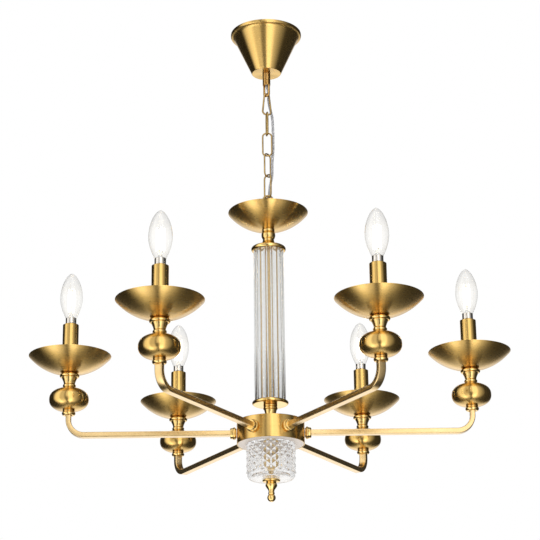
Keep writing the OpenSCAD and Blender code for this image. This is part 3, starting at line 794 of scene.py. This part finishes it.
# degrees round the vertical, from the top link down
LINK_TURNS = (100, 0, 50, -45)
EYE_TURN, PEAR_TURN = 140, 17
LINK_WIRE, LINK_HALF_WIDTH, LINK_BEND = 1.25, 7.15, 5.95
PEAR_WIRE, PEAR_TOP_BEND, PEAR_FOOT_BEND = 1.4, 4, 5.7
PEAR_FOOT_ASIDE = 1.2  # from the middle to the centre of each lower bend
EYE_WIRE, BAIL_WIRE = 1.75, 1.5


def make_chain():
    for k, turn in enumerate(LINK_TURNS, 1):
        node = "chain_link_%d" % k
        middle = (low(node) + high(node)) / 2
        half_length = height_of(node) / 2 - LINK_WIRE
        mesh = wire(node + "_wire", ring_path(LINK_HALF_WIDTH, half_length, LINK_BEND),
                    LINK_WIRE, True)
        obj = add_object(node + "_wire", mesh, Vector((0, 0, middle.z)), math.radians(turn))
        keep(obj, "link_%d" % k, antique, "antique_brass", node)
    # the pear-shaped link: a small arc above, a wide foot below
    aside, bend = PEAR_FOOT_ASIDE, PEAR_FOOT_BEND
    top = high("pear_link").z / MM - PEAR_WIRE - PEAR_TOP_BEND
    foot = low("pear_link").z / MM + PEAR_WIRE + bend
    fall = top - foot
    reach = math.hypot(aside, fall)
    lean = math.degrees(math.acos((PEAR_TOP_BEND - bend) / reach) - math.atan2(fall, aside))
    path = (corner(0, top, PEAR_TOP_BEND, lean, 180 - lean, 14)
            + corner(-aside, foot, bend, 180 - lean, 270)
            + corner(aside, foot, bend, 270, 360 + lean))
    mesh = wire("pear_link_wire", path, PEAR_WIRE, True)
    keep(add_object("pear_link_wire", mesh, turn=math.radians(PEAR_TURN)), "pear", antique,
         "antique_brass", "pear_link")


def make_canopy_loop():
    """The ribbed collar screwed under the canopy, and the eye that it carries."""
    eye_bar = low("canopy_loop").z / MM + EYE_WIRE
    top = high("canopy_loop").z / MM
    collar_foot = top - 21
    ribs = 17
    pitch = (top - collar_foot) / ribs
    outline = [(2.8, top)]
    for i in range(ribs * 6 + 1):
        z = top - i * pitch / 6
        outline.append((6.25 - 0.35 * (0.5 + 0.5 * math.cos(TAU * i / 6)), z))
    outline += [(5.6, collar_foot), (2.8, collar_foot)]
    collar = revolve("collar", outline, SMALL)
    eye = wire("eye", bail_path(4.85, collar_foot - eye_bar + 1, 3.4), EYE_WIRE, False)
    for v in eye.vertices:
        v.co.z += eye_bar * MM
    mesh = join("canopy_loop_wire", [collar, eye],
                [Matrix.Identity(4), Matrix.Rotation(math.radians(EYE_TURN), 4, "Z")])
    keep(add_object("canopy_loop_wire", mesh), "ceiling_set", aged_collar, "antique_brass",
         "canopy_loop")


def make_fixture_loop():
    top = height_of("fixture_loop") - BAIL_WIRE
    boss_height = 19.6
    boss = revolve("boss", rounded([(CLEAR, 0), (8.6, 0), (8.6, boss_height),
                                    (3, boss_height), (3, 15.8), (CLEAR, 15.8)], 0.4, 4, 1.2))
    path = [(x, 0, top - z) for x, _, z in bail_path(6.9, top - boss_height + 1, 5.7)]
    mesh = join("fixture_loop_wire", [boss, wire("bail", path, BAIL_WIRE, False)])
    keep(add_object("fixture_loop_wire", mesh, above("fixture_loop")), "fixture", antique,
         "antique_brass", "fixture_loop")


# ---------------------------------------------------------------- arms
def tube_outline(across, up, bend):
    """The arm tube's section: flat sides and small round corners."""
    out = []
    for sx, sy, start in ((1, 1, 0), (-1, 1, 90), (-1, -1, 180), (1, -1, 270)):
        centre = (sx * (across / 2 - bend), sy * (up / 2 - bend))
        out += arc(centre, bend, start, start + 90, 5)
    return out


ARM_WIDTH, ARM_HEIGHT, ARM_CORNER = 12, 8, 1.5
ARM_BEND = 24


def make_arms():
    reach = REACH / MM
    bend = ARM_BEND
    start = HUB_RADIUS + 3.7
    end = (low("tip_ferrules").z - ARM_Z) / MM
    path = [(start + (reach - bend - start) * i / 12, 0, 0) for i in range(12)]
    path += corner(reach - bend, bend, bend, -90, 0, 28) + [(reach, 0, end + 0.4)]
    mesh = sweep("arm", path, tube_outline(ARM_WIDTH, ARM_HEIGHT, ARM_CORNER), side=(0, 1, 0))
    for k in ARMS:
        obj = add_object("arm_%d_tube" % k, mesh.copy(), Vector((0, 0, ARM_Z)), arm_turn(k))
        keep(obj, "fixture", drawn_brass_painted_sheen, "satin_brass", "arm_%d" % k)


# ---------------------------------------------------------------- glass
RODS, ROD_RADIUS, ROD_CIRCLE = 12, 4.2, 19.3


def make_rods():
    """Clear rods, ground square with a small polished bevel at each end."""
    height = height_of("glass_rods")
    outline = rounded([(0.02, 0.02), (ROD_RADIUS, 0.02), (ROD_RADIUS, height - 0.02),
                       (0.02, height - 0.02)], 0.3, 2, 0.25)
    mesh = revolve("rod", outline, 48)
    for k in range(1, RODS + 1):
        obj = add_object("glass_rod_%02d" % k, mesh.copy(),
                         spot_round(ROD_CIRCLE * MM, TAU * k / RODS, low("glass_rods").z))
        keep(obj, "fixture", rod_glass, "rod_glass", "glass_rods")


CUP_RADIUS, CUP_VALLEY = 37.6, 35.4
CUP_COLUMNS, CUP_ROWS, CUP_ROW = 32, 8, 5.5
CUP_GAP = 0.15  # so that the glass shares no face with the plate above or the finial below


def make_cup():
    """A pressed glass cup: rows of pyramids over a plain foot band, hollow inside."""
    height = height_of("crystal_cup") - 2 * CUP_GAP
    points, faces = [], []

    def ring(*facts):
        points.extend(ring_points(*facts))
        return len(points) - facts[0]

    n = CUP_COLUMNS
    rows = [ring(n, lambda i, j=j: CUP_RADIUS if (i + j) % 2 == 0 else CUP_VALLEY,
                 height - j * CUP_ROW) for j in range(CUP_ROWS + 1)]
    for j in range(CUP_ROWS):
        for i in range(n):
            k = (i + 1) % n
            a, b, c, d = rows[j] + i, rows[j] + k, rows[j + 1] + i, rows[j + 1] + k
            faces += [(a, b, c), (b, d, c)] if (i + j) % 2 == 0 else [(a, b, d), (a, d, c)]
    fine = n * 4
    band = height - CUP_ROWS * CUP_ROW - 1
    radius = CUP_VALLEY + 0.6
    outer = [(radius, band), (radius, 5.6), (radius - 0.35, 4.1), (radius - 1.2, 2.6),
             (radius - 2.3, 1.5), (radius - 3.6, 0.7), (radius - 6, 0)]
    inner = [(CLEAR, 0), (CLEAR, 6), (26, 6), (28.6, 6.5), (30.1, 8), (30.5, 10.5),
             (30.5, height)]
    smooth_rings = [ring(fine, lambda i, r=r: r, z) for r, z in outer + inner]
    # fans join the cut rows to the finer smooth rings, below the rows and at the top edge
    for coarse, first in ((rows[-1], smooth_rings[0]), (rows[0], smooth_rings[-1])):
        for i in range(n):
            k = (i + 1) % n
            turn = [first + (4 * i + t) % fine for t in range(5)]
            faces += [(coarse + i, turn[0], turn[1]), (coarse + i, turn[1], turn[2]),
                      (coarse + i, turn[2], coarse + k), (coarse + k, turn[2], turn[3]),
                      (coarse + k, turn[3], turn[4])]
    for one, two in zip(smooth_rings, smooth_rings[1:]):
        for i in range(fine):
            k = (i + 1) % fine
            faces.append((one + i, one + k, two + k, two + i))
    mesh = add_mesh("cut_cup", points, faces, crease=math.radians(20))
    obj = add_object("cut_cup", mesh, above("crystal_cup") + Vector((0, 0, CUP_GAP * MM)))
    keep(obj, "fixture", cut_glass, "cut_glass", "crystal_cup")


# ---------------------------------------------------------------- lamps
def flame(radius, neck, foot, tip, y):
    wide = foot + (tip - foot) * 0.449
    if y > wide:
        return radius * (1 - ((y - wide) / (tip - wide)) ** 1.9) ** 0.62
    return neck + (radius - neck) * math.cos(math.pi / 2 * (wide - y) / (wide - foot))


def flame_outline(radius, neck, foot, tip, count):
    out = []
    for i in range(count):
        y = foot + (tip - foot) * (1 - (1 - i / count) ** 1.6)
        out.append((flame(radius, neck, foot, tip, y), y))
    return out + [(0.02, tip)]


THREAD_PITCH = 2.82
LAMP_RADIUS, LAMP_NECK, LAMP_WALL = 17.5, 8.3, 0.55


def screw_shell(name):
    """The lamp's screw shell: one rolled thread winding up it, then the collar."""
    points, faces = [], []
    rows, around = 72, 48
    foot, top, end = 4.3, 17.4, 28.2
    for j in range(rows + 1):
        z = foot + (top - foot) * j / rows
        fade = max(min(1, (z - foot) / 1.2, (top - z) / 1.2), 0)
        points += ring_points(around, lambda s: 6.35 + 0.3 * fade * (
            1 + math.cos(TAU * (z / THREAD_PITCH - s / around))), z)
    tail = [(7.0, 17.9), (8.1, 19.1), (8.25, 20), (8.25, end - 0.2), (7.95, end), (7.7, end - 0.4),
            (7.7, 19.4), (5.9, 17.6), (5.9, 5.6), (2.4, 4.6), (2.4, 4.2), (6.2, 4.2)]
    for r, z in tail:
        points += ring_points(around, lambda s: r, z)
    total = rows + 1 + len(tail)
    for j in range(total):
        k = (j + 1) % total
        for s in range(around):
            t = (s + 1) % around
            faces.append((j * around + s, j * around + t, k * around + t, k * around + s))
    return add_mesh(name, points, faces, crease=math.radians(50))


def make_lamps():
    tall = height_of("bulb_glass_1")
    outer = flame_outline(LAMP_RADIUS, LAMP_NECK, 0, tall, 46)
    inner = flame_outline(LAMP_RADIUS - LAMP_WALL, LAMP_NECK - LAMP_WALL, 0.6, tall - 0.7, 46)
    envelope = revolve("envelope", outer + inner[::-1] + [(0.02, 0.6), (0.02, 0.02)], 96,
                       crease=math.radians(60))
    stem = revolve("stem", rounded([(0.3, 1.0), (5.2, 1.0), (3.6, 3.5), (2.3, 7.5), (1.9, 12),
                                    (2.2, 14.4), (1.2, 15.6), (0.3, 15.6)], 0.4, 3, 2), 32)
    strips, wires = [], []
    foot, top, orbit = 10.0, 48.0, 5.2
    strip_outline = rounded([(0.02, foot + 1.4), (0.85, foot + 1.4), (0.85, top - 1.4),
                             (0.02, top - 1.4)], 0.45, 3, 0.7)
    for q in range(4):
        a = math.radians(45 + 90 * q)
        spot = Matrix.Rotation(a, 4, "Z")
        strips.append((revolve("strip", strip_outline, 16),
                       Matrix.Translation(spot @ Vector((orbit * MM, 0, 0)))))
        for z, lean in ((foot, 3.6), (top, -2.2)):
            path = [(0.5, 0, z + lean), (2.6, 0, z + lean * 0.45), (orbit, 0, z),
                    (orbit, 0, z + (1.8 if lean > 0 else -1.8))]
            wires.append((wire("lead", path, 0.28, False, 8), spot))
    wires.append((sweep("mast", [(0, 0, 14), (0, 0, top - 1.6)], circle(0.5, 12)),
                  Matrix.Identity(4)))
    filament = join("filament", [m for m, _ in strips], [t for _, t in strips])
    support = join("support", [m for m, _ in wires], [t for _, t in wires])
    button = revolve("contact", rounded([(0.02, 0.02), (2.2, 0.02), (2.6, 1.1), (2.6, 1.6),
                                         (0.02, 1.6)], 0.4, 3, 0.6), 32)
    insulator = revolve("insulator", rounded([(0.02, 1.5), (2.9, 1.5), (6.3, 4.2), (5.6, 5.2),
                                              (0.02, 5.2)], 0.3, 2, 0.5), 40)
    black = plastic("black_lamp_glass", (0.02, 0.02, 0.022), (0.012, 0.012, 0.014), 0.2)
    pieces = (("envelope", envelope, "glass", lamp_glass, "bulb_glass"),
              ("stem", stem, "glass", rod_glass, "bulb_glass"),
              ("filament", filament, "glass", filament_glow, "bulb_glass"),
              ("support", support, "glass", nickel, "nickel"),
              ("shell", screw_shell("screw_shell"), "cap", nickel, "nickel"),
              ("contact", button, "cap", nickel, "nickel"),
              ("insulator", insulator, "cap", black, "socket_plastic"))
    for k in ARMS:
        for name, mesh, half, finish, slot in pieces:
            obj = add_object("lamp_%d_%s" % (k, name), mesh.copy(),
                             candle_spot(k, "bulb_%s_1" % half), arm_turn(k))
            nodes = ["bulb_%s_%d" % (half, k)] if name in ("envelope", "shell") else []
            keep(obj, "lamp_%d_%s" % (k, half), finish, slot, *nodes)


# ---------------------------------------------------------------- kept CAD nodes
drawn_vertical = brass("centre_tube_brass", TUBE_LIGHT, TUBE_DARK, 0.26, strokes(2, 2400), 0.03)


def finish_nodes():
    for node, finish in (("ceiling_bracket", zinc), ("canopy_nipple", zinc),
                         ("nipple_nuts", zinc), ("terminal_block", white_plastic),
                         ("centre_tube", drawn_vertical), ("arm_nuts", zinc),
                         ("lamp_sockets", socket_plastic)):
        obj = frame["nodes"][node]
        if not obj.material_slots:
            obj.data.materials.append(finish)
        for slot in obj.material_slots:
            slot.material = finish


# ---------------------------------------------------------------- studio
FLOOR_Z, FLOOR_RADIUS, FLOOR_SIDES = -2.05, 40, 64


def make_floor():
    rim = circle(FLOOR_RADIUS, FLOOR_SIDES)
    points = [(0, 0, FLOOR_Z)] + [(x, y, FLOOR_Z) for x, y in rim]
    mesh = add_mesh("floor", points, [(0, 1 + i, 1 + (i + 1) % FLOOR_SIDES)
                                      for i in range(FLOOR_SIDES)])
    floor = add_object("floor", mesh)
    n = Nodes("pale_floor")
    n.set(Base_Color=n.blend(n.noise(3.0, 4.0), (0.80, 0.80, 0.80), (0.86, 0.86, 0.85)),
          Roughness=0.7)
    mesh.materials.append(n.material)
    floor.visible_glossy = False


def make_world():
    """Plain white to the camera; reflections see bright and dark strips round the studio."""
    world = bpy.data.worlds.new("studio")
    bpy.context.scene.world = world
    world.use_nodes = True
    tree = world.node_tree
    tree.nodes.clear()

    def node(kind, inputs=None, **facts):
        made = tree.nodes.new("ShaderNode" + kind)
        for key, value in facts.items():
            setattr(made, key, value)
        for socket, value in (inputs or {}).items():
            if isinstance(value, bpy.types.NodeSocket):
                tree.links.new(value, made.inputs[socket])
            else:
                made.inputs[socket].default_value = value
        return made

    def calc(operation, a, b=0.0):
        return node("Math", {0: a, 1: b}, operation=operation).outputs[0]

    def spread(value, start, end, first, last):
        return node("MapRange", {"Value": value, "From Min": start, "From Max": end,
                                 "To Min": first, "To Max": last}).outputs["Result"]

    parts = node("SeparateXYZ", {0: node("TexCoord").outputs["Generated"]}).outputs
    # the whole turn from behind, past the left, the front and the right, as 0 to 1
    azimuth = calc("ADD", calc("DIVIDE", calc("ARCTAN2", parts[0],
                                              calc("MULTIPLY", parts[1], -1.0)), TAU), 0.5)
    ramp = node("ValToRGB", {0: azimuth})
    ramp.color_ramp.interpolation = "LINEAR"
    for i, (degrees, value) in enumerate(STRIPS):
        place = degrees / 360 + 0.5
        stop = ramp.color_ramp.elements[i] if i < 2 else ramp.color_ramp.elements.new(place)
        stop.position = place
        stop.color = (value, value, value, 1)
    lift = spread(parts[2], -1.0, STRIPS_FROM, 0.0, 1.0)
    downward = calc("MAXIMUM", calc("MULTIPLY", parts[2], -1.0), 0.0)
    low_part = calc("POWER", downward, 4.0)
    gain = calc("MULTIPLY", calc("ADD", 1.0, calc("MULTIPLY", low_part, NADIR_LEVEL)),
                STRIP_LEVEL)
    strips = calc("MULTIPLY", node("RGBToBW", {0: ramp.outputs[0]}).outputs[0], gain)
    below = calc("MULTIPLY", calc("SUBTRACT", 1.0, lift), FLOOR_LEVEL)
    sweep_low = calc("MULTIPLY", calc("MAXIMUM", calc("SUBTRACT", parts[1], SWEEP_FROM), 0.0),
                     calc("MULTIPLY", downward, SWEEP_LEVEL))
    off_centre = calc("ABSOLUTE", calc("SUBTRACT", azimuth, CENTRE_AT))
    centre = calc("MULTIPLY", spread(off_centre, *CENTRE_EDGE, CENTRE_LEVEL, 0.0),
                  spread(parts[2], *CENTRE_RISE, 0.0, 1.0))
    level = calc("ADD", calc("ADD", calc("MULTIPLY", strips, lift), below),
                 calc("ADD", sweep_low, centre))
    glossy = node("Background", {"Color": node("CombineColor", {
        0: level, 1: calc("MULTIPLY", level, STUDIO_GREEN),
        2: calc("MULTIPLY", level, STUDIO_BLUE)}).outputs[0],
        "Strength": 1.0})
    plain = node("Background", {"Color": (1, 1, 1, 1), "Strength": 1.0})
    paths = node("LightPath").outputs
    seen = calc("MULTIPLY", paths["Is Glossy Ray"], calc("SUBTRACT", 1.0, calc(
        "MULTIPLY", paths["Is Transmission Ray"], 1.0 - THROUGH_GLASS)))
    share = node("MixShader", {0: seen, 1: plain.outputs[0], 2: glossy.outputs[0]})
    node("OutputWorld", {"Surface": share.outputs[0]})
    bpy.context.scene.view_settings.view_transform = "Standard"
    for kind in ("max", "transmission", "glossy"):
        setattr(bpy.context.scene.cycles, kind + "_bounces", BOUNCES)


def make_lights():
    for name, spot, size, power, warm in LIGHTS:
        data = bpy.data.lights.new(name, "AREA")
        data.shape = "RECTANGLE"
        data.size, data.size_y = size
        data.energy = power
        data.color = warm
        lamp = bpy.data.objects.new(name, data)
        bpy.context.scene.collection.objects.link(lamp)
        lamp.location = spot
        aim = Vector((0, 0, ARM_Z)) - Vector(spot)
        lamp.rotation_euler = aim.to_track_quat("-Z", "Y").to_euler()
        lamp.visible_glossy = False
        lamp.visible_transmission = False


BOUNCES = 24
# degrees right of the front, and brightness there
STRIPS = ((-180, 0.5), (180, 0.5), (-166, 0.4), (-154, 0.015), (-96, 0.015), (-80, 0.7),
          (-58, 0.9), (-46, 0.45), (-26, 0.5), (-16, 0.10), (-2, 0.07), (6, 0.9), (24, 1.0),
          (38, 0.45), (60, 0.22), (80, 0.03), (152, 0.015), (164, 0.4))
STRIP_LEVEL = 1.8
STRIPS_FROM = -0.86  # the height, of a direction of length 1, where the strips are full
NADIR_LEVEL = 2.0  # how much the strips brighten towards the floor
FLOOR_LEVEL = 0.03
SWEEP_FROM, SWEEP_LEVEL = 0.8, 10.0  # the white sweep low down behind the piece
CENTRE_AT = 0.49  # the bright strip in front and above, as a share of the whole turn
CENTRE_EDGE = (0.018, 0.038)  # and where it fades, off its middle
CENTRE_RISE = (-0.15, 0.1)  # and the heights over which it starts
CENTRE_LEVEL = 1.0
STUDIO_GREEN, STUDIO_BLUE = 0.965, 0.92
THROUGH_GLASS = 0.3  # how much of the studio refracted rays see
LIGHTS = (("key", (-1.9, -2.2, 0.6), (1.4, 1.4), 26.0, (1, 0.98, 0.95)),
          ("fill", (2.2, -1.8, 0.2), (1.6, 1.6), 16.0, (0.97, 0.98, 1)),
          ("back", (0.3, 2.4, 0.9), (1.8, 1.2), 14.0, (1, 1, 1)))

make_cable()
make_bowls()
make_turned()
make_sleeves()
make_canopy()
make_chain()
make_canopy_loop()
make_fixture_loop()
make_arms()
make_rods()
make_cup()
make_lamps()
finish_nodes()
make_floor()
make_world()
make_lights()
